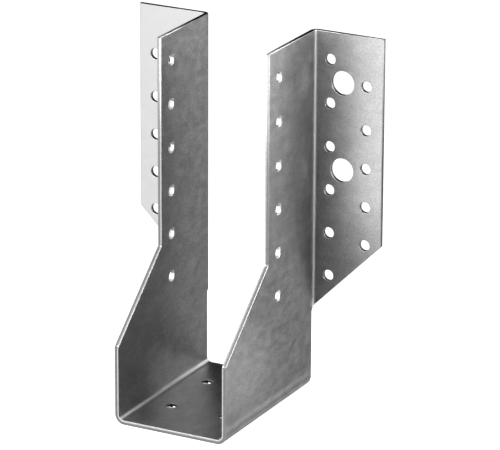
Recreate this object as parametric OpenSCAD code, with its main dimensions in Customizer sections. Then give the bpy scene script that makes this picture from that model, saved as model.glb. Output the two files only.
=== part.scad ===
// Joist hanger folded from one sheet: a U-shaped stirrup that carries the joist,
// with a flange turned outwards along the back of each cheek for nails and bolts.
// X runs across the joist, -Y points out of the header, Z is up from the underside.

/* [Stirrup] */
// Clear width between the cheeks, which is the joist's width
joist_w = 51; // [40:1:100]
// Overall height from the underside of the seat to the top edge
height = 166; // [150:1:200]
// Depth of the seat, from the header to its front edge
seat_d = 84; // [70:1:100]
// Thickness of the sheet
sheet_t = 2; // [1.5:0.1:3]
// Inner radius of the two bends beside the seat
seat_bend_r = 2.5; // [1.5:0.1:5]

/* [Cheeks] */
// Depth of a cheek above its shoulder, from the header
cheek_d = 45; // [42:1:60]
// Height of the shoulder, where a cheek starts to widen
shoulder_h = 70.5; // [60:0.5:85]
// Height of the full-depth front edge of a cheek
front_h = 36; // [20:1:50]
// Radius on the corners of the blank
corner_r = 2; // [0.5:0.1:4]

/* [Flanges] */
// Reach of a flange from the outer face of its cheek
flange_w = 33; // [31:0.5:45]
// Length of the free edge of a flange, down from the top
flange_l = 95; // [90:1:105]
// Slope of the lower edge of a flange, from the horizontal
flange_slope = 45; // [35:1:48]
// Inner radius of the bend between a cheek and its flange
flange_bend_r = 1.2; // [0.8:0.1:3]

/* [Nail holes] */
// Diameter of a nail hole
nail_d = 5; // [4:0.1:5.5]
// Distance from one nail hole to the next
nail_pitch = 20; // [18:0.5:21]
// Drop from the top edge to the first nail holes
nail_drop = 12.5; // [8:0.5:14]
// Nail holes down a cheek
cheek_nails = 6; // [1:1:6]
// Distance of the cheek nail holes from the header
cheek_nail_y = 36; // [15:1:38]
// Nail holes down a flange, beside the bend
bend_nails = 6; // [1:1:6]
// Distance of the nail holes beside the bend from the cheek
bend_nail_x = 7.3; // [5:0.1:7.5]
// Distance of the outer nail holes from the cheek
edge_nail_x = 25; // [23:0.5:27]
// Drop from the top edge to the first outer nail hole
edge_nail_drop = 22.5; // [15:0.5:24]
// Distance between the lower outer nail holes
edge_nail_pitch = 17.7; // [15:0.1:18]
// Lower outer nail holes, below the first two
edge_nails_low = 3; // [0:1:3]

/* [Bolt holes] */
// Diameter of a bolt hole
bolt_d = 11; // [8:0.5:12]
// Distance of the bolt holes from the cheek
bolt_x = 13.5; // [13:0.1:15]
// Drop from the top edge to the first bolt hole
bolt_drop = 22.5; // [16:0.5:23]
// Distance between the two bolt holes of a flange
bolt_pitch = 40; // [36:1:44]

/* [Seat holes] */
// Distance between the seat nail holes, across the joist
seat_nail_w = 26.6; // [15:0.2:32]
// Distance between the seat nail holes, along the joist
seat_nail_l = 32.5; // [20:0.5:50]
// Distance of the first seat nail holes from the header
seat_nail_y = 26; // [15:0.5:30]

/* [Hidden] */
$fn = 96;

// How far a drill passes each face
past = 1;

header_y = seat_d / 2;
front_y = -seat_d / 2;
cheek_out = joist_w / 2 + sheet_t;
seat_bend_out = seat_bend_r + sheet_t;
flange_bend_out = flange_bend_r + sheet_t;
// The line where a cheek's flat face ends and its flange bend begins
bend_y = header_y - flange_bend_out;
// The line where the flange's flat face begins
bend_x = cheek_out + flange_bend_r;
flange_x = cheek_out + flange_w;
flange_low_h = height - flange_l;
// Where the slope under the flange runs out at the inner face of the cheek
slope_low_h = flange_low_h - (flange_x - joist_w / 2) * tan(flange_slope);

cheek_row = [for (i = [0 : cheek_nails - 1]) height - nail_drop - i * nail_pitch];
bend_row = [for (i = [0 : bend_nails - 1]) height - nail_drop - i * nail_pitch];
edge_row_top = [for (i = [0 : 1]) height - edge_nail_drop - i * nail_pitch];
edge_row_low = [for (i = [1 : 1 : edge_nails_low]) edge_row_top[1] - i * edge_nail_pitch];
bolt_row = [for (i = [0 : 1]) height - bolt_drop - i * bolt_pitch];

// The sliver between a corner at p, with edges towards a and b, and a circle inside them
module corner_sliver(p, a, b, r) {
    ua = (a - p) / norm(a - p);
    ub = (b - p) / norm(b - p);
    half = acos(ua * ub) / 2;
    middle = (ua + ub) / norm(ua + ub);
    centre = p + middle * r / sin(half);
    difference() {
        polygon([p, p + ua * r / tan(half), centre, p + ub * r / tan(half)]);
        translate(centre) circle(r = r);
    }
}

// The U section of the stirrup, seen along the joist, with X across and Z up
module stirrup_section() {
    difference() {
        union() {
            translate([-cheek_out + seat_bend_out, 0])
                square([2 * (cheek_out - seat_bend_out), height]);
            translate([-cheek_out, seat_bend_out])
                square([2 * cheek_out, height - seat_bend_out]);
            for (side = [-1, 1])
                translate([side * (cheek_out - seat_bend_out), seat_bend_out]) circle(r = seat_bend_out);
        }
        translate([-joist_w / 2, sheet_t + seat_bend_r]) square([joist_w, height]);
        translate([-joist_w / 2 + seat_bend_r, sheet_t]) square([joist_w - 2 * seat_bend_r, height]);
        for (side = [-1, 1])
            translate([side * (joist_w / 2 - seat_bend_r), sheet_t + seat_bend_r]) circle(r = seat_bend_r);
    }
}

// The side view of a cheek, with Y across and Z up
module cheek_outline() {
    cheek_y = header_y - cheek_d;
    top = [cheek_y, height];
    shoulder = [cheek_y, shoulder_h];
    nose = [front_y, front_h];
    foot = [front_y, 0];
    difference() {
        union() {
            polygon([top, shoulder, nose, foot, [bend_y, 0], [bend_y, height]]);
            corner_sliver(shoulder, top, nose, corner_r);
        }
        corner_sliver(nose, shoulder, foot, corner_r);
    }
}

// Seat and both cheeks, folded from one strip
module stirrup() {
    intersection() {
        translate([0, header_y, 0]) rotate([90, 0, 0]) linear_extrude(seat_d) stirrup_section();
        translate([-cheek_out, 0, 0]) rotate([90, 0, 90]) linear_extrude(2 * cheek_out) cheek_outline();
    }
}

// The right flange and the quarter turn from its cheek, seen from above
module flange_plan() {
    translate([bend_x, bend_y])
        intersection() {
            difference() {
                circle(r = flange_bend_out);
                circle(r = flange_bend_r);
            }
            translate([-flange_bend_out, 0]) square(flange_bend_out);
        }
    translate([bend_x, header_y - sheet_t]) square([flange_x - bend_x, sheet_t]);
}

// The front view of the right flange and its bend, with X across and Z up
module flange_outline() {
    inner_x = joist_w / 2;
    polygon([
        [inner_x, slope_low_h], [flange_x, flange_low_h], [flange_x, height], [inner_x, height]
    ]);
}

module flange() {
    intersection() {
        translate([0, 0, slope_low_h]) linear_extrude(height - slope_low_h) flange_plan();
        translate([0, header_y, 0])
            rotate([90, 0, 0]) linear_extrude(header_y - bend_y) flange_outline();
    }
}

// A drill along Y through a flange, at a distance from the outer face of the cheek
module flange_drill(from_cheek, z, d) {
    translate([cheek_out + from_cheek, header_y + past, z])
        rotate([90, 0, 0]) cylinder(h = sheet_t + 2 * past, d = d);
}

module flange_holes() {
    for (z = bend_row) flange_drill(bend_nail_x, z, nail_d);
    for (z = edge_row_top) flange_drill(edge_nail_x, z, nail_d);
    for (z = edge_row_low) flange_drill(edge_nail_x, z, nail_d);
    for (z = bolt_row) flange_drill(bolt_x, z, bolt_d);
}

module cheek_holes() {
    for (z = cheek_row)
        translate([-cheek_out - past, header_y - cheek_nail_y, z])
            rotate([0, 90, 0]) cylinder(h = 2 * (cheek_out + past), d = nail_d);
}

module seat_holes() {
    for (side = [-1, 1], row = [0, 1])
        translate([side * seat_nail_w / 2, header_y - seat_nail_y - row * seat_nail_l, -past])
            cylinder(h = sheet_t + 2 * past, d = nail_d);
}

module hanger() {
    color("silver")
        difference() {
            union() {
                stirrup();
                for (side = [0, 1]) mirror([side, 0, 0]) flange();
            }
            for (side = [0, 1]) mirror([side, 0, 0]) flange_holes();
            cheek_holes();
            seat_holes();
        }
}

hanger();
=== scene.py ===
"""The looks of a joist hanger that is folded from one galvanised sheet.

The hanger is made here the way the shop makes it: a flat blank is cut out with its holes, its rims
get the round that the cut leaves, and then it is folded along its four bends.
Lengths in the classes are millimetres, unless they are said to be metres. The finished mesh is in
metres.
"""
import logging
import math
from dataclasses import dataclass, field
from enum import Enum

import bmesh
import bpy
from mathutils import Matrix, Vector


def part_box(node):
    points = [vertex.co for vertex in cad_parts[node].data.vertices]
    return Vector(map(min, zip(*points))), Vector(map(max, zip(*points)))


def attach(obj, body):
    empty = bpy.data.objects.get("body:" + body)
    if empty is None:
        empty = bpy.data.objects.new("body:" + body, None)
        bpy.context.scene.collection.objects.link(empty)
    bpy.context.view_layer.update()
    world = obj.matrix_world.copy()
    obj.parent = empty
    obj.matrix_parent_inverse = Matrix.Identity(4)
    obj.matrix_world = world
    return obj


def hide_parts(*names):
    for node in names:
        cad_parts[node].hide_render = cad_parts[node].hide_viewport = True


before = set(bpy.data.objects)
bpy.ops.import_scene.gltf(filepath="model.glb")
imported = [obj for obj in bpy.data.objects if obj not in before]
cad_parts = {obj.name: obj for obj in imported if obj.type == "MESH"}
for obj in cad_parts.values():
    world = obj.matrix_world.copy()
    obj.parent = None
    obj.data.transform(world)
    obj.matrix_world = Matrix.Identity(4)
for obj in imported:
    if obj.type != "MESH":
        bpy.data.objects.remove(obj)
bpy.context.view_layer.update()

LOG = logging.getLogger("joist_hanger")
MM = 0.001
NODE = "hanger"
BODY = "root"
FLAT_PLACE = "flat_place"
BEND_SHARE = "bend_share"
BORE_KIND = "bore_kind"
QUARTER_TURN = math.pi / 2
QUAD_CORNERS = 4
WHITE = (1.0, 1.0, 1.0, 1.0)


class Surface(Enum):
    """The material slot that each kind of surface takes."""

    SKIN = 0
    SHEARED = 1


class SheetSide(Enum):
    """The two skins of the sheet, each with the sign of its normal in the flat blank."""

    OUTER = -1
    INNER = 1


class Bore(Enum):
    """The bores that the cut steel tells apart for the painted shade and painted light of their walls, each
    with the value of its vertex attribute.
    """

    SEAT = -1.0
    OTHER = 0.0
    CHEEK = 1.0


@dataclass(frozen=True)
class RoundedRim:
    """The round that the cut leaves along one skin of every edge."""

    radius: float
    steps: int

    def strips(self) -> list[tuple[float, float]]:
        """Gives the round as strips from the wall to the skin.

        Returns:
            One (inset, rise) pair for each strip, in millimetres.
        """
        turns = [QUARTER_TURN * i / self.steps for i in range(self.steps + 1)]
        return [
            (self.radius * (math.cos(a) - math.cos(b)), self.radius * (math.sin(b) - math.sin(a)))
            for a, b in zip(turns, turns[1:])
        ]


@dataclass(frozen=True)
class HangerSizes:
    """The folded hanger's driving sizes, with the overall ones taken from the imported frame.

    Lengths are in millimetres and the flange's slope is in radians.
    """

    width: float
    depth: float
    height: float
    joist_w: float = 51.0
    sheet_t: float = 2.0
    seat_bend_r: float = 2.5
    flange_bend_r: float = 1.2
    cheek_d: float = 45.0
    shoulder_h: float = 70.5
    front_h: float = 36.0
    corner_r: float = 2.0
    flange_l: float = 95.0
    flange_slope: float = math.radians(45)

    @classmethod
    def from_frame(cls, node: str) -> "HangerSizes":
        """Reads the overall sizes from a node of the frame.

        Args:
            node: The name of the node that holds the folded sheet.

        Returns:
            The sizes, in millimetres.
        """
        low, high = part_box(node)
        width, depth, height = ((high - low) / MM)[:]
        return cls(width=width, depth=depth, height=height)

    @property
    def header_y(self) -> float:
        """The plane of the flanges' backs."""
        return self.depth / 2

    @property
    def front_y(self) -> float:
        """The plane of the seat's front edge."""
        return -self.depth / 2

    @property
    def cheek_out(self) -> float:
        """Distance from the middle to the outer face of a cheek."""
        return self.joist_w / 2 + self.sheet_t

    @property
    def seat_half(self) -> float:
        """Half the width of the seat's flat part."""
        return self.joist_w / 2 - self.seat_bend_r

    @property
    def bend_y(self) -> float:
        """Where a cheek's flat part ends and its flange bend begins."""
        return self.header_y - self.flange_bend_r - self.sheet_t

    @property
    def seat_arc(self) -> float:
        """Length of a seat bend along the middle of the sheet."""
        return (self.seat_bend_r + self.sheet_t / 2) * QUARTER_TURN

    @property
    def flange_arc(self) -> float:
        """Length of a flange bend along the middle of the sheet."""
        return (self.flange_bend_r + self.sheet_t / 2) * QUARTER_TURN

    def along(self, height: float) -> float:
        """Gives the place along the flat strip of a height on the folded cheek."""
        return self.seat_half + self.seat_arc + height - self.sheet_t - self.seat_bend_r

    def across(self, from_cheek: float) -> float:
        """Gives the place across the flat strip of a distance from the cheek's outer face."""
        return self.bend_y + self.flange_arc + from_cheek - self.flange_bend_r


@dataclass(frozen=True)
class HoleRows:
    """The punched holes, by their drops from the top edge and their distances from a fold.

    The rim round a bore still counts as part of it, as far as bore_reach from its wall.
    """

    nail_d: float = 5.0
    nail_pitch: float = 20.0
    nail_drop: float = 12.5
    nail_rows: int = 6
    cheek_nail_y: float = 36.0
    bend_nail_x: float = 7.3
    edge_nail_x: float = 25.0
    edge_nail_drop: float = 22.5
    edge_nail_pitch: float = 17.7
    edge_nails_low: int = 3
    bolt_d: float = 11.0
    bolt_x: float = 13.5
    bolt_drop: float = 22.5
    bolt_pitch: float = 40.0
    bolt_rows: int = 2
    seat_nail_w: float = 26.6
    seat_nail_l: float = 32.5
    seat_nail_y: float = 26.0
    seat_rows: int = 2
    nail_sides: int = 48
    bolt_sides: int = 72
    bore_reach: float = 0.3

    def places(self, sizes: HangerSizes) -> list[tuple[float, float, float, int]]:
        """Lists the holes in the right half of the flat blank.

        Args:
            sizes: The hanger's sizes.

        Returns:
            One (along, across, diameter, sides) entry for each hole.
        """
        nail = (self.nail_d, self.nail_sides)
        bolt = (self.bolt_d, self.bolt_sides)
        low_steps = [self.nail_pitch + self.edge_nail_pitch * i for i in range(self.edge_nails_low + 1)]
        nail_drops = [self.nail_drop + self.nail_pitch * i for i in range(self.nail_rows)]
        edge_drops = [self.edge_nail_drop + step for step in [0.0, *low_steps]]
        bolt_drops = [self.bolt_drop + self.bolt_pitch * i for i in range(self.bolt_rows)]
        columns = [
            (sizes.header_y - self.cheek_nail_y, nail_drops, nail),
            (sizes.across(self.bend_nail_x), nail_drops, nail),
            (sizes.across(self.edge_nail_x), edge_drops, nail),
            (sizes.across(self.bolt_x), bolt_drops, bolt),
        ]
        placed = [
            (sizes.along(sizes.height - drop), across, *size)
            for across, drops, size in columns
            for drop in drops
        ]
        seat_first = sizes.header_y - self.seat_nail_y
        placed += [
            (self.seat_nail_w / 2, seat_first - self.seat_nail_l * i, *nail) for i in range(self.seat_rows)
        ]
        return placed

    def kind(self, flat: Vector, sizes: HangerSizes) -> Bore:
        """Tells which bore a place on the blank's walls belongs to, which sets whether that wall gets
        painted shade, painted light or neither.

        Args:
            flat: The place in the flat blank, in millimetres.
            sizes: The hanger's sizes.

        Returns:
            The bore's kind, which is OTHER in a flange's bore and outside all bores.
        """
        for along, across, diameter, _ in self.places(sizes):
            if math.hypot(abs(flat.x) - along, flat.y - across) < diameter / 2 + self.bore_reach:
                if along < sizes.seat_half:
                    return Bore.SEAT
                return Bore.CHEEK if across < sizes.bend_y else Bore.OTHER
        return Bore.OTHER


@dataclass(frozen=True)
class Blank:
    """The flat blank, cut and punched, with X along the strip, Y across it and Z through the sheet.

    Attributes:
        sizes: The hanger's sizes.
        holes: The hanger's holes.
        rim: The round along both skins.
        corner_share: The bevel's offset as a share of a corner's radius.
        corner_steps: The segments of a rounded corner.
        bend_steps: The strips that each bend is scored into.
        weld: How near to a scored line a vertex counts as lying on it.
    """

    sizes: HangerSizes
    holes: HoleRows
    rim: RoundedRim = RoundedRim(radius=0.24, steps=3)
    corner_share: float = 0.4
    corner_steps: int = 4
    bend_steps: int = 12
    weld: float = 1e-4

    def right_outline(self) -> list[tuple[float, float]]:
        """Lists the corners of the blank's right half.

        Returns:
            One (along, across) pair for each corner, from the front round to the back.
        """
        s = self.sizes
        cheek_y = s.header_y - s.cheek_d
        edge = s.across(s.width / 2 - s.cheek_out)
        low = s.height - s.flange_l
        root = low - (edge - s.bend_y) * math.tan(s.flange_slope)
        return [
            (s.along(s.front_h), s.front_y),
            (s.along(s.shoulder_h), cheek_y),
            (s.along(s.height), cheek_y),
            (s.along(s.height), edge),
            (s.along(low), edge),
            (s.along(root), s.bend_y),
        ]

    def sheet(self) -> bmesh.types.BMesh:
        """Fills the outline round the holes as one flat face layer.

        Returns:
            A new bmesh with the flat faces at zero height.
        """
        bm = bmesh.new()
        half = self.right_outline()
        corners = half + [(-along, across) for along, across in reversed(half)]
        ring = [bm.verts.new((along, across, 0.0)) for along, across in corners]
        for a, b in zip(ring, ring[1:] + ring[:1]):
            bm.edges.new((a, b))
        rounded = [ring[0], ring[1], ring[-2], ring[-1]]
        bmesh.ops.bevel(
            bm, geom=rounded, offset=self.sizes.corner_r * self.corner_share, offset_type="OFFSET",
            affect="VERTICES", segments=self.corner_steps, profile=0.5, material=-1,
        )
        for along, across, diameter, sides in self.holes.places(self.sizes):
            for side in (-1, 1):
                bmesh.ops.create_circle(
                    bm, cap_ends=False, radius=diameter / 2, segments=sides,
                    matrix=Matrix.Translation((side * along, across, 0.0)),
                )
        bmesh.ops.triangle_fill(bm, use_beauty=True, use_dissolve=False, edges=bm.edges[:], normal=(0, 0, 1))
        return bm

    def score(self, bm: bmesh.types.BMesh) -> None:
        """Cuts the flat sheet into strips along the four bends.

        Args:
            bm: The flat sheet, with its thickness.
        """
        s = self.sizes
        lines = []
        for i in range(self.bend_steps + 1):
            share = i / self.bend_steps
            lines.append((Vector((0, s.bend_y + share * s.flange_arc, 0)), Vector((0, 1, 0))))
            for side in (-1, 1):
                lines.append((Vector((side * (s.seat_half + share * s.seat_arc), 0, 0)), Vector((1, 0, 0))))
        for point, normal in lines:
            bmesh.ops.bisect_plane(
                bm, geom=bm.verts[:] + bm.edges[:] + bm.faces[:], plane_co=point, plane_no=normal,
                dist=self.weld,
            )

    def thicken(self, bm: bmesh.types.BMesh) -> None:
        """Gives the sheet its thickness, its sheared walls and the rounded rims of both skins.

        Args:
            bm: The flat faces.
        """
        layers = {SheetSide.INNER: bm.faces[:]}
        wall = bmesh.ops.extrude_face_region(bm, geom=bm.faces[:], use_keep_orig=True)
        layers[SheetSide.OUTER] = [g for g in wall["geom"] if isinstance(g, bmesh.types.BMFace)]
        heights = {SheetSide.INNER: self.sizes.sheet_t - self.rim.radius, SheetSide.OUTER: self.rim.radius}
        for side, faces in layers.items():
            for vert in {v for f in faces for v in f.verts}:
                vert.co.z = heights[side]
        bmesh.ops.recalc_face_normals(bm, faces=bm.faces[:])
        for face in bm.faces:
            face.material_index = Surface.SHEARED.value
        for faces in layers.values():
            for face in faces:
                face.material_index = Surface.SKIN.value
            for inset, rise in self.rim.strips():
                bmesh.ops.inset_region(
                    bm, faces=faces, thickness=inset, depth=rise, use_even_offset=True, use_boundary=True,
                )

    def build(self) -> bmesh.types.BMesh:
        """Makes the whole blank.

        Returns:
            A new closed bmesh, in millimetres.
        """
        bm = self.sheet()
        self.thicken(bm)
        self.score(bm)
        return bm


@dataclass(frozen=True)
class Fold:
    """The four bends, which carry a place in the flat blank to its place on the folded hanger.

    Attributes:
        sizes: The hanger's sizes.
        flange_focus: How closely the craze of the zinc and its painted highlight keep to the middle of a
            flange bend.
        seat_focus: The same for a seat bend.
    """

    sizes: HangerSizes
    flange_focus: int = 2
    seat_focus: int = 6

    def flange(self, across: float, depth: float) -> tuple[float, float]:
        """Turns a place outwards over the flange bend.

        Args:
            across: The place across the strip.
            depth: The place through the sheet, from its outer skin.

        Returns:
            The same place with the flange turned.
        """
        s = self.sizes
        past = across - s.bend_y
        if past <= 0:
            return across, depth
        radius = s.flange_bend_r + depth
        turn = min(past / s.flange_arc, 1.0) * QUARTER_TURN
        run = max(past - s.flange_arc, 0.0)
        return s.bend_y + radius * math.sin(turn), radius * math.cos(turn) - s.flange_bend_r - run

    def seat(self, along: float, depth: float) -> tuple[float, float]:
        """Turns a place upwards over the bend beside the seat.

        Args:
            along: The place along the strip, from its middle.
            depth: The place through the sheet, from its outer skin.

        Returns:
            The place across the joist and the height.
        """
        s = self.sizes
        past = abs(along) - s.seat_half
        if past <= 0:
            return along, depth
        radius = s.seat_bend_r + s.sheet_t - depth
        turn = min(past / s.seat_arc, 1.0) * QUARTER_TURN
        run = max(past - s.seat_arc, 0.0)
        across_joist = s.seat_half + radius * math.sin(turn)
        return math.copysign(across_joist, along), s.seat_bend_r + s.sheet_t - radius * math.cos(turn) + run

    def place(self, flat: Vector) -> Vector:
        """Folds one place of the blank.

        Args:
            flat: The place in the flat blank, in millimetres.

        Returns:
            The place on the folded hanger, in millimetres.
        """
        across, depth = self.flange(flat.y, flat.z)
        x, z = self.seat(flat.x, depth)
        return Vector((x, across, z))

    def bent(self, flat: Vector) -> float:
        """Tells how near a place lies to the middle of a bend's hollow side.

        Args:
            flat: The place in the flat blank, in millimetres.

        Returns:
            One in the middle of the hollow side, falling to zero at the bend's two ends.
        """
        s = self.sizes
        over_flange = (flat.y - s.bend_y) / s.flange_arc
        over_seat = (abs(flat.x) - s.seat_half) / s.seat_arc
        if 0 < over_flange < 1 and flat.z < s.sheet_t / 2:
            return math.sin(math.pi * over_flange) ** self.flange_focus
        if 0 < over_seat < 1 and flat.z > s.sheet_t / 2:
            return math.sin(math.pi * over_seat) ** self.seat_focus
        return 0.0


@dataclass(frozen=True)
class Grain:
    """One layer of soft noise on the sheet.

    Attributes:
        size: The size of its spots, in millimetres.
        stretch: How many times longer a spot is along the strip, across it and through the sheet.
        detail: How many finer layers it holds.
        shift: A shift of the pattern, in metres.
    """

    size: float
    stretch: tuple[float, float, float]
    detail: float = 2.0
    shift: tuple[float, float, float] = (0.0, 0.0, 0.0)


class NodeBench:
    """A short way to lay and join the shader nodes of one material or world."""

    def __init__(self, owner: bpy.types.Material | bpy.types.World) -> None:
        """Takes the owner's node tree and clears it.

        Args:
            owner: The material or world that the nodes belong to.
        """
        owner.use_nodes = True
        self.tree = owner.node_tree
        self.tree.nodes.clear()

    def add(self, kind: str, inputs: dict | None = None, **settings: object) -> bpy.types.Node:
        """Adds one node.

        Args:
            kind: The node's type name, without its ShaderNode prefix.
            inputs: Values or sockets for the node's inputs, by name or number.
            settings: Attributes of the node.

        Returns:
            The new node.
        """
        node = self.tree.nodes.new(f"ShaderNode{kind}")
        for name, value in settings.items():
            setattr(node, name, value)
        for name, value in (inputs or {}).items():
            if isinstance(value, bpy.types.NodeSocket):
                self.tree.links.new(value, node.inputs[name])
            else:
                node.inputs[name].default_value = value
        return node

    def math(self, operation: str, *values: object) -> bpy.types.NodeSocket:
        """Adds a Math node and gives its result.

        Args:
            operation: The operation's name.
            values: Numbers or sockets, in order.

        Returns:
            The result's socket.
        """
        return self.add("Math", dict(enumerate(values)), operation=operation).outputs[0]

    def span(self, value: bpy.types.NodeSocket, source: tuple, target: tuple) -> bpy.types.NodeSocket:
        """Carries a value smoothly from one span to another.

        Args:
            value: The value's socket.
            source: The lowest and highest value taken in.
            target: The values given for them.

        Returns:
            The result's socket.
        """
        node = self.add("MapRange", {0: value, 1: source[0], 2: source[1], 3: target[0], 4: target[1]})
        node.interpolation_type = "SMOOTHSTEP"
        return node.outputs[0]

    def blend(self, share: object, none: object, full: object) -> bpy.types.NodeSocket:
        """Mixes two values.

        Args:
            share: The share of the second value, a number or a socket.
            none: The value at a share of zero, a number or a socket.
            full: The value at a share of one, a number or a socket.

        Returns:
            The result's socket.
        """
        return self.add("Mix", {0: share, 2: none, 3: full}).outputs[0]

    def noise(self, place: bpy.types.NodeSocket, grain: Grain) -> bpy.types.NodeSocket:
        """Adds one layer of soft noise.

        Args:
            place: The coordinates, in metres.
            grain: The layer.

        Returns:
            The noise's value, about 0.5 on average.
        """
        scale = tuple(1 / (grain.size * MM * part) for part in grain.stretch)
        moved = self.add("Mapping", {"Vector": place, "Location": grain.shift, "Scale": scale})
        inputs = {"Vector": moved.outputs[0], "Scale": 1.0, "Detail": grain.detail}
        return self.add("TexNoise", inputs).outputs[0]

    def bump(self, height: bpy.types.NodeSocket, reach: float, strength: float = 1.0,
             normal: bpy.types.NodeSocket | None = None) -> bpy.types.NodeSocket:
        """Adds bumps.

        Args:
            height: The height, from zero to one.
            reach: The millimetres that a height of one stands for.
            strength: The share of the bumps that shows.
            normal: The normal that is bumped, or None for the surface's own.

        Returns:
            The bumped normal's socket.
        """
        inputs = {"Strength": strength, "Distance": reach * MM, "Height": height}
        if normal is not None:
            inputs["Normal"] = normal
        return self.add("Bump", inputs).outputs[0]

    def metal(self, grey: bpy.types.NodeSocket, rough: bpy.types.NodeSocket,
              normal: bpy.types.NodeSocket) -> None:
        """Ends the tree with a bare metal surface.

        Args:
            grey: The share of the light that it mirrors.
            rough: The roughness.
            normal: The bumped normal.
        """
        colour = self.add("CombineColor", {0: grey, 1: grey, 2: grey}).outputs[0]
        shader = self.add(
            "BsdfPrincipled", {"Base Color": colour, "Metallic": 1.0, "Roughness": rough, "Normal": normal},
        )
        self.add("OutputMaterial", {"Surface": shader.outputs[0]})


@dataclass(frozen=True)
class ZincSkin:
    """Hot-dip galvanised skin: mottled grey, and paler and duller along the bends, where the zinc crazes;
    that paler grey is also a painted highlight, as is a faint line above each seat bend.

    Attributes:
        grey: The middle grey.
        mottle: How far the grey swings to each side of it.
        calm_mottle: The same on the left flange, whose skin is calmer.
        calm_along: Where the calm skin ends along the strip and where the mottled one begins.
        calm_across: Where the mottled skin ends across the strip and where the calm one begins.
        swing: The span of the mixed noise over which the grey swings from low to high.
        cloud: The middle-sized spots of the mottle.
        patch: The large spots of the mottle.
        grain: The fine spots of the mottle.
        wave: The slow waviness of the sheet.
        patch_share: The patches' share in the mixture with the clouds.
        grain_share: The fine grain's share in the mixture with both.
        rough: The roughness in the clouds' low and high places.
        rough_span: The span of the clouds over which it changes.
        wave_height: The height of the waves.
        cloud_height: The height of the clouds.
        grain_height: The height of the grain.
        crazed_highlight_grey: The paler grey of the zinc where it crazes, which is also a painted highlight.
        crazed_rough: The roughness of the zinc where it crazes.
        highlight_line_along: The middle of a faint painted highlight line on the outer skin, just above each
            seat bend.
        highlight_line_reach: Half the width of that line.
        highlight_line_share: How far that line takes the paler grey and roughness of the bends in its
            middle.
        middle: The depth in the sheet that parts its outer skin from its inner one.
    """

    grey: float = 0.56
    mottle: float = 0.09
    calm_mottle: float = 0.015
    calm_along: tuple[float, float] = (-20.0, 20.0)
    calm_across: tuple[float, float] = (38.0, 46.0)
    swing: tuple[float, float] = (0.35, 0.65)
    cloud: Grain = Grain(3.2, (0.9, 1.7, 0.1), detail=3.0)
    patch: Grain = Grain(9.0, (0.9, 1.6, 0.1))
    grain: Grain = Grain(0.7, (0.9, 1.6, 1.0))
    wave: Grain = Grain(24.0, (1.3, 1.0, 0.5), detail=1.0)
    patch_share: float = 0.45
    grain_share: float = 0.5
    rough: tuple[float, float] = (0.35, 0.39)
    rough_span: tuple[float, float] = (0.3, 0.7)
    wave_height: float = 0.03
    cloud_height: float = 0.02
    grain_height: float = 0.003
    crazed_highlight_grey: float = 0.9
    crazed_rough: float = 0.75
    highlight_line_along: float = 30.8
    highlight_line_reach: float = 2.2
    highlight_line_share: float = 0.17
    middle: float = 1.0

    def swing_reach(self, bench: NodeBench, along: bpy.types.NodeSocket,
                    across: bpy.types.NodeSocket) -> bpy.types.NodeSocket:
        """Gives how far the grey swings at each place.

        Args:
            bench: The bench of the material.
            along: The place along the strip, in metres.
            across: The place across the strip, in metres.

        Returns:
            The swing's socket.
        """
        left = bench.span(along, tuple(edge * MM for edge in self.calm_along), (1.0, 0.0))
        out = bench.span(across, tuple(edge * MM for edge in self.calm_across), (0.0, 1.0))
        return bench.blend(bench.math("MULTIPLY", left, out), self.mottle, self.calm_mottle)

    def crazing_and_highlight(self, bench: NodeBench, along: bpy.types.NodeSocket,
                depth: bpy.types.NodeSocket) -> bpy.types.NodeSocket:
        """Gives where the zinc crazes along the bends, with their painted highlight, and the painted
        highlight line above each seat bend.

        Args:
            bench: The bench of the material.
            along: The place along the strip, in metres.
            depth: The place through the sheet from its outer skin, in metres.

        Returns:
            The share of the zinc that crazes and takes the painted highlight.
        """
        bend = bench.add("Attribute", attribute_name=BEND_SHARE).outputs["Fac"]
        # A painted highlight line on the outer skin, just above each seat bend.
        past_highlight_line = bench.math("SUBTRACT", bench.math("ABSOLUTE", along), self.highlight_line_along * MM)
        highlight_line = bench.span(
            bench.math("ABSOLUTE", past_highlight_line), (0.0, self.highlight_line_reach * MM), (self.highlight_line_share, 0.0),
        )
        outer = bench.math("LESS_THAN", depth, self.middle * MM)
        return bench.math("MAXIMUM", bend, bench.math("MULTIPLY", highlight_line, outer))

    def material(self) -> bpy.types.Material:
        """Makes the material.

        Returns:
            The zinc material, on the sheet's flat coordinates.
        """
        made = bpy.data.materials.new("zinc_skin")
        bench = NodeBench(made)
        place = bench.add("Attribute", attribute_name=FLAT_PLACE).outputs["Vector"]
        along, across, depth = bench.add("SeparateXYZ", {"Vector": place}).outputs
        cloud, patch, grain, wave = (
            bench.noise(place, layer) for layer in (self.cloud, self.patch, self.grain, self.wave)
        )
        mixed = bench.blend(self.grain_share, bench.blend(self.patch_share, cloud, patch), grain)
        swing = bench.span(mixed, self.swing, (-1.0, 1.0))
        grey = bench.math("MULTIPLY_ADD", swing, self.swing_reach(bench, along, across), self.grey)
        crazed_and_highlight = self.crazing_and_highlight(bench, along, depth)
        # The bends' paler grey is crazed zinc and also a painted highlight; so is the faint line above each
        # seat bend.
        grey = bench.blend(crazed_and_highlight, grey, self.crazed_highlight_grey)
        rough = bench.blend(crazed_and_highlight, bench.span(cloud, self.rough_span, self.rough), self.crazed_rough)
        normal = bench.bump(wave, self.wave_height)
        normal = bench.bump(cloud, self.cloud_height, normal=normal)
        normal = bench.bump(grain, self.grain_height, normal=normal)
        bench.metal(grey, rough, normal)
        return made


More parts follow.
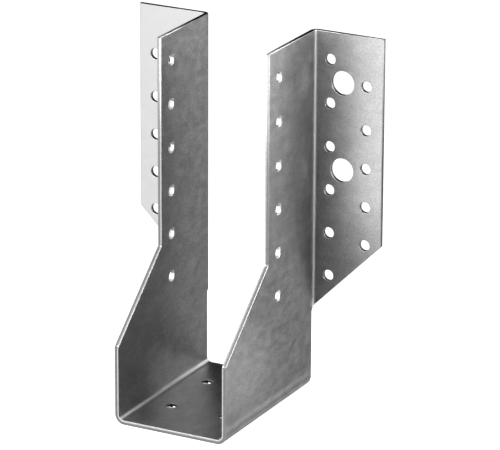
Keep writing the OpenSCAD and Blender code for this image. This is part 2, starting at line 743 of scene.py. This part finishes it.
@dataclass(frozen=True)
class ShearedEdge:
    """The cut wall of the sheet: burnished by the inner skin and torn, so darker and duller, below.

    The walls of the bores and the hanger's top edge take painted shade and painted light in their grey.

    Attributes:
        burnished: The grey of the burnished band.
        torn: The grey of the torn band.
        burnished_rough: The roughness of the burnished band.
        torn_rough: The roughness of the torn band.
        boundary: The depth at which the torn band ends.
        waver: How far that boundary wavers.
        ripple: The noise that makes it waver.
        drag: The fine marks that the cut drags through the sheet.
        drag_span: The span of those marks over which the grey changes.
        drag_grey: The factors on the grey at its two ends.
        drag_height: The height of the marks.
        drag_strength: The share of that height that shows.
        bore_shade_grey: The grey of the upper part of a seat bore, a painted shade for the shaded ground
            under the seat.
        bore_lit_grey: The grey of its lower part and of a cheek bore, a painted light.
        bore_rough: The roughness of a seat bore.
        bore_line: The depth that parts a seat bore's painted shade above from its painted light below.
        top_shade_grey: The grey of the hanger's top edge, a painted shade.
        top_along: Where the strip's two ends lie, which are the hanger's top.
        top_reach: How near to it a wall counts as the top.
    """

    burnished: float = 0.5
    torn: float = 0.22
    burnished_rough: float = 0.26
    torn_rough: float = 0.38
    boundary: float = 1.3
    waver: float = 0.15
    ripple: Grain = Grain(1.3, (1.0, 1.0, 4.0))
    drag: Grain = Grain(0.25, (1.0, 1.0, 12.0), shift=(0.3, 0.1, 0.0))
    drag_span: tuple[float, float] = (0.3, 0.7)
    drag_grey: tuple[float, float] = (0.86, 1.08)
    drag_height: float = 0.01
    drag_strength: float = 0.6
    bore_shade_grey: float = 0.03
    bore_lit_grey: float = 0.95
    bore_line: float = 0.75
    bore_rough: float = 0.12
    top_shade_grey: float = 0.1
    top_along: float = 190.0
    top_reach: float = 0.5

    def material(self) -> bpy.types.Material:
        """Makes the material.

        Returns:
            The cut steel material, on the sheet's flat coordinates.
        """
        made = bpy.data.materials.new("sheared_steel")
        bench = NodeBench(made)
        place = bench.add("Attribute", attribute_name=FLAT_PLACE).outputs["Vector"]
        along, _, depth = bench.add("SeparateXYZ", {"Vector": place}).outputs
        bore = bench.add("Attribute", attribute_name=BORE_KIND).outputs["Fac"]
        in_seat = bench.math("LESS_THAN", bore, Bore.SEAT.value / 2)
        in_cheek = bench.math("GREATER_THAN", bore, Bore.CHEEK.value / 2)
        top_from = (self.top_along - self.top_reach) * MM
        at_top = bench.math("GREATER_THAN", bench.math("ABSOLUTE", along), top_from)
        upper = bench.math("GREATER_THAN", depth, self.bore_line * MM)
        drag = bench.noise(place, self.drag)
        level = bench.math("MULTIPLY_ADD", bench.noise(place, self.ripple), self.waver * MM, depth)
        edge = (self.boundary * MM, (self.boundary + self.waver) * MM)
        tear = bench.span(level, edge, (1.0, 0.0))
        grey = bench.span(tear, (0.0, 1.0), (self.burnished, self.torn))
        grey = bench.math("MULTIPLY", grey, bench.span(drag, self.drag_span, self.drag_grey))
        # Painted shade on the hanger's top edge.
        grey = bench.blend(at_top, grey, self.top_shade_grey)
        # Painted light on the walls of the cheek bores.
        grey = bench.blend(in_cheek, grey, self.bore_lit_grey)
        # Painted shade on the upper part of a seat bore's wall, painted light on its lower part.
        grey = bench.blend(in_seat, grey, bench.blend(upper, self.bore_lit_grey, self.bore_shade_grey))
        rough = bench.span(tear, (0.0, 1.0), (self.burnished_rough, self.torn_rough))
        rough = bench.blend(in_seat, rough, self.bore_rough)
        bench.metal(grey, rough, bench.bump(drag, self.drag_height, self.drag_strength))
        return made


@dataclass
class JoistHanger:
    """The one piece of the hanger, which stands for the frame's folded sheet."""

    sizes: HangerSizes
    holes: HoleRows = field(default_factory=HoleRows)
    skin: ZincSkin = field(default_factory=ZincSkin)
    sheared: ShearedEdge = field(default_factory=ShearedEdge)
    piece_name: str = "folded_sheet"

    def mesh(self) -> bpy.types.Mesh:
        """Cuts, punches and folds the sheet.

        Returns:
            The finished mesh, in metres.
        """
        bm = Blank(self.sizes, self.holes).build()
        fold = Fold(self.sizes)
        flat_place = bm.verts.layers.float_vector.new(FLAT_PLACE)
        bend_share = bm.verts.layers.float.new(BEND_SHARE)
        bore_kind = bm.verts.layers.float.new(BORE_KIND)
        for vert in bm.verts:
            vert[flat_place] = vert.co * MM
            vert[bend_share] = fold.bent(vert.co)
            # Marks each wall's bore for its painted shade and painted light.
            vert[bore_kind] = self.holes.kind(vert.co, self.sizes).value
            vert.co = fold.place(vert.co) * MM
        bmesh.ops.triangulate(bm, faces=[f for f in bm.faces if len(f.verts) > QUAD_CORNERS])
        bmesh.ops.recalc_face_normals(bm, faces=bm.faces[:])
        for face in bm.faces:
            face.smooth = True
        mesh = bpy.data.meshes.new(self.piece_name)
        bm.to_mesh(mesh)
        bm.free()
        return mesh

    def build(self) -> bpy.types.Object:
        """Makes the piece, dresses it and ties it to the frame.

        Returns:
            The finished object.
        """
        piece = bpy.data.objects.new(self.piece_name, self.mesh())
        bpy.context.scene.collection.objects.link(piece)
        for finish in (self.skin, self.sheared):
            piece.data.materials.append(finish.material())
        normals = piece.modifiers.new("flat_faces", "WEIGHTED_NORMAL")
        normals.keep_sharp = True
        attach(piece, BODY)
        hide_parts(NODE)
        return piece


def direction(azimuth: float, elevation: float) -> Vector:
    """Gives the direction from the hanger to a place in the studio.

    Args:
        azimuth: The turn from +Y towards +X, in degrees.
        elevation: The angle above the floor, in degrees.

    Returns:
        The direction, as a unit vector.
    """
    a, e = math.radians(azimuth), math.radians(elevation)
    return Vector((math.sin(a) * math.cos(e), math.cos(a) * math.cos(e), math.sin(e)))


@dataclass(frozen=True)
class Glow:
    """A soft patch of far light, or of shade where its strength is negative.

    Attributes:
        azimuth: The turn of its middle from +Y towards +X, in degrees.
        elevation: The angle of its middle above the floor, in degrees.
        outer: The angle from its middle at which it fades out, in degrees.
        strength: The light that it adds in its middle.
        inner_share: The share of the outer angle within which it is full.
    """

    azimuth: float
    elevation: float
    outer: float
    strength: float
    inner_share: float = 0.25

    def axis(self) -> Vector:
        """Gives the direction of the patch's middle."""
        return direction(self.azimuth, self.elevation)

    def edges(self) -> tuple[float, float]:
        """Gives the cosines of the angles at which the patch begins and is full."""
        return math.cos(math.radians(self.outer)), math.cos(math.radians(self.outer * self.inner_share))


@dataclass(frozen=True)
class Panel:
    """A round soft panel that stands near the hanger and faces it.

    Attributes:
        azimuth: The turn of its middle from +Y towards +X, in degrees.
        elevation: The angle of its middle above the floor, in degrees.
        watts: The power of its light.
        distance: The distance from the place that it faces, in metres.
        size: Its diameter, in metres.
        aim: The place that it faces, in metres.
    """

    azimuth: float
    elevation: float
    watts: float
    distance: float = 0.40
    size: float = 0.288
    aim: tuple[float, float, float] = (0.0, 0.0, 0.08)

    def build(self, name: str) -> bpy.types.Object:
        """Makes the panel's light.

        Args:
            name: The light's name.

        Returns:
            The light's object.
        """
        axis = direction(self.azimuth, self.elevation)
        data = bpy.data.lights.new(name, "AREA")
        data.shape = "DISK"
        data.size = self.size
        data.energy = self.watts
        panel = bpy.data.objects.new(name, data)
        panel.location = Vector(self.aim) + axis * self.distance
        panel.rotation_euler = axis.to_track_quat("Z", "Y").to_euler()
        panel.visible_camera = False
        bpy.context.scene.collection.objects.link(panel)
        return panel


@dataclass(frozen=True)
class Studio:
    """An even fill with brighter and darker sides and some near panels, over a white floor.

    Attributes:
        base: The even fill.
        darkest: The least light that a side can have.
        backdrop: The light of the background that the camera sees.
        floor_grey: The share of the light that the floor sends back.
        floor_lift: The light that the floor gives by itself, which keeps it white.
        floor_size: The floor's width, in metres.
        glows: The brighter and darker sides.
        panels: The near panels.
    """

    base: float = 0.12
    darkest: float = 0.0
    backdrop: float = 1.0
    floor_grey: float = 0.55
    floor_lift: float = 0.92
    floor_size: float = 6.0
    glows: tuple[Glow, ...] = (
        Glow(205.0, -15.0, 35.0, 1.56),
        Glow(60.0, -45.0, 30.0, 2.46),
        Glow(275.0, -10.0, 35.0, 0.3),
        Glow(133.0, -7.0, 64.0, -0.12),
        Glow(331.0, 24.0, 43.0, -0.12),
        Glow(38.0, 19.0, 43.0, -0.07),
        Glow(40.0, -15.0, 30.0, -0.06),
        Glow(242.0, 60.0, 30.0, 1.2),
        Glow(112.0, -20.0, 20.0, 0.5),
    )
    panels: tuple[Panel, ...] = (
        Panel(60.0, 10.0, 0.47),
        Panel(60.0, 25.0, 0.33),
        Panel(87.0, 35.0, 1.42),
        Panel(195.0, 35.0, 1.22),
        Panel(152.0, -20.0, 0.006, 0.15, 0.06, (0.034, 0.030, 0.180)),
        Panel(28.0, -20.0, 0.0018, 0.09, 0.05, (0.0275, -0.064, 0.044)),
    )

    def light(self) -> bpy.types.World:
        """Makes the world light and the panels.

        Returns:
            The new world.
        """
        world = bpy.data.worlds.new("studio")
        bench = NodeBench(world)
        towards = bench.add("TexCoord").outputs["Generated"]
        total = self.base
        for glow in self.glows:
            facing = bench.add(
                "VectorMath", {0: towards, 1: glow.axis()}, operation="DOT_PRODUCT",
            ).outputs["Value"]
            total = bench.math("ADD", total, bench.span(facing, glow.edges(), (0.0, glow.strength)))
        total = bench.math("MAXIMUM", total, self.darkest)
        seen = bench.add("LightPath").outputs["Is Camera Ray"]
        lit = bench.add("Background", {"Color": WHITE, "Strength": total})
        plain = bench.add("Background", {"Color": WHITE, "Strength": self.backdrop})
        mixed = bench.add("MixShader", {0: seen, 1: lit.outputs[0], 2: plain.outputs[0]})
        bench.add("OutputWorld", {"Surface": mixed.outputs[0]})
        bpy.context.scene.world = world
        for i, panel in enumerate(self.panels):
            panel.build(f"panel_{i}")
        return world

    def floor(self) -> bpy.types.Object:
        """Makes the white floor, which the sheet neither mirrors nor loses light to.

        Returns:
            The floor's object.
        """
        bm = bmesh.new()
        bmesh.ops.create_grid(bm, x_segments=1, y_segments=1, size=self.floor_size / 2)
        mesh = bpy.data.meshes.new("floor")
        bm.to_mesh(mesh)
        bm.free()
        floor = bpy.data.objects.new("floor", mesh)
        bpy.context.scene.collection.objects.link(floor)
        pale = bpy.data.materials.new("white_floor")
        bench = NodeBench(pale)
        grey = (self.floor_grey, self.floor_grey, self.floor_grey, 1.0)
        lit = bench.add("BsdfDiffuse", {"Color": grey})
        lift = bench.add("Emission", {"Color": WHITE, "Strength": self.floor_lift})
        mixed = bench.add("AddShader", {0: lit.outputs[0], 1: lift.outputs[0]})
        bench.add("OutputMaterial", {"Surface": mixed.outputs[0]})
        mesh.materials.append(pale)
        floor.visible_glossy = False
        floor.visible_shadow = False
        return floor


@dataclass(frozen=True)
class PhotoCamera:
    """A camera at the photograph's viewing angle, for a frame of 500 by 450 pixels.

    Attributes:
        azimuth: Its turn round the hanger from the front towards the right, in degrees.
        elevation: Its angle above the floor, in degrees.
        roll: Its turn about its own axis, in degrees.
        distance: Its distance from the place that it aims at.
        focal_px: Its focal length in the photograph's pixels.
        frame_px: The photograph's width in pixels.
        sensor: The sensor's width.
        aim: A place inside the hanger.
        aim_right: How far to the right of that place it aims.
        aim_up: How far above that place it aims.
        clip: The nearest and farthest distance that it sees, in metres.
    """

    azimuth: float = 27.92
    elevation: float = 19.22
    roll: float = 0.229
    distance: float = 1693.0
    focal_px: float = 3867.0
    frame_px: float = 500.0
    sensor: float = 36.0
    aim: tuple[float, float, float] = (0.0, 4.0, 80.0)
    aim_right: float = 12.9
    aim_up: float = 2.3
    clip: tuple[float, float] = (0.05, 50.0)

    def build(self) -> bpy.types.Object:
        """Makes the camera and gives it to the scene.

        Returns:
            The camera's object.
        """
        a, e, r = (math.radians(v) for v in (self.azimuth, self.elevation, self.roll))
        back = Vector((math.sin(a) * math.cos(e), -math.cos(a) * math.cos(e), math.sin(e)))
        right = Vector((math.cos(a), math.sin(a), 0.0))
        up = back.cross(right)
        place = Vector(self.aim) + back * self.distance + right * self.aim_right + up * self.aim_up
        rolled_right = right * math.cos(r) + up * math.sin(r)
        rolled_up = up * math.cos(r) - right * math.sin(r)
        data = bpy.data.cameras.new("camera")
        data.sensor_width = self.sensor
        data.lens = self.focal_px / self.frame_px * self.sensor
        data.clip_start, data.clip_end = self.clip
        camera = bpy.data.objects.new("camera", data)
        turned = Matrix((rolled_right, rolled_up, back)).transposed().to_4x4()
        camera.matrix_world = Matrix.Translation(place * MM) @ turned
        bpy.context.scene.collection.objects.link(camera)
        bpy.context.scene.camera = camera
        return camera


def main() -> None:
    """Builds the camera, the studio and the hanger."""
    logging.basicConfig(level=logging.INFO, format="%(name)s: %(message)s")
    bpy.context.scene.view_settings.view_transform = "Standard"
    PhotoCamera().build()
    studio = Studio()
    studio.light()
    studio.floor()
    hanger = JoistHanger(HangerSizes.from_frame(NODE))
    piece = hanger.build()
    LOG.info("%s: %d faces", piece.name, len(piece.data.polygons))


if __name__ == "__main__":
    main()
